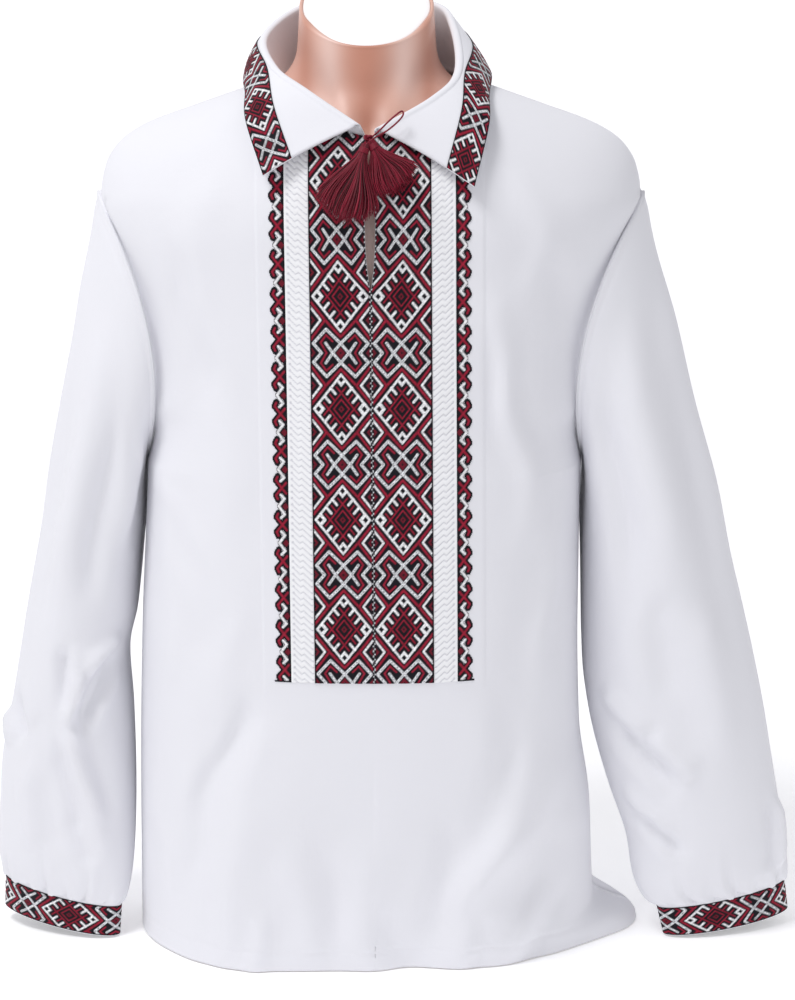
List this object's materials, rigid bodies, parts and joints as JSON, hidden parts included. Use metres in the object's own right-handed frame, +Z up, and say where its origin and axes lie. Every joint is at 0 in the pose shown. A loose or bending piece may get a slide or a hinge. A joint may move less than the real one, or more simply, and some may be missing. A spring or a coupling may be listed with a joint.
{
  "type": "vyshyvanka shirt on a torso dress form",
  "caption": "Embroidered white folk shirt with turn-down collar, neck slit tied with tassels and long cuffed sleeves, standing on a limbless torso dress form.",
  "frame": {"origin": "middle of the dress form's flat base, on the surface that it stands on", "axes": "+Z up the neck, the shirt's front faces -Y, the sleeve on the view's left is at -X"},
  "size_m": [0.7289, 0.2909, 0.8603],
  "materials": {
    "cotton": "plain woven white cotton, matt",
    "lace": "white cotton lace insertion, matt",
    "embroidery": "dense counted-thread embroidery in black, red and white",
    "tie": "burgundy thread, soft sheen",
    "form": "satin moulded plastic, skin coloured",
    "form_cap": "satin white plastic"
  },
  "bodies": {
    "root": {"front": "cotton", "back": "cotton", "sleeve_left": "cotton", "sleeve_right": "cotton", "collar": "cotton", "collar_band": "embroidery", "cuff_left": "embroidery", "cuff_right": "embroidery", "panel_left": "embroidery", "panel_right": "embroidery", "edging_left": "embroidery", "edging_right": "embroidery", "lace_left": "lace", "lace_right": "lace", "tassel_front": "tie", "tassel_side": "tie", "tie_knot": "tie", "tie_cord": "tie", "dress_form": "form", "neck_cap": "form_cap"}
  },
  "joints": []
}
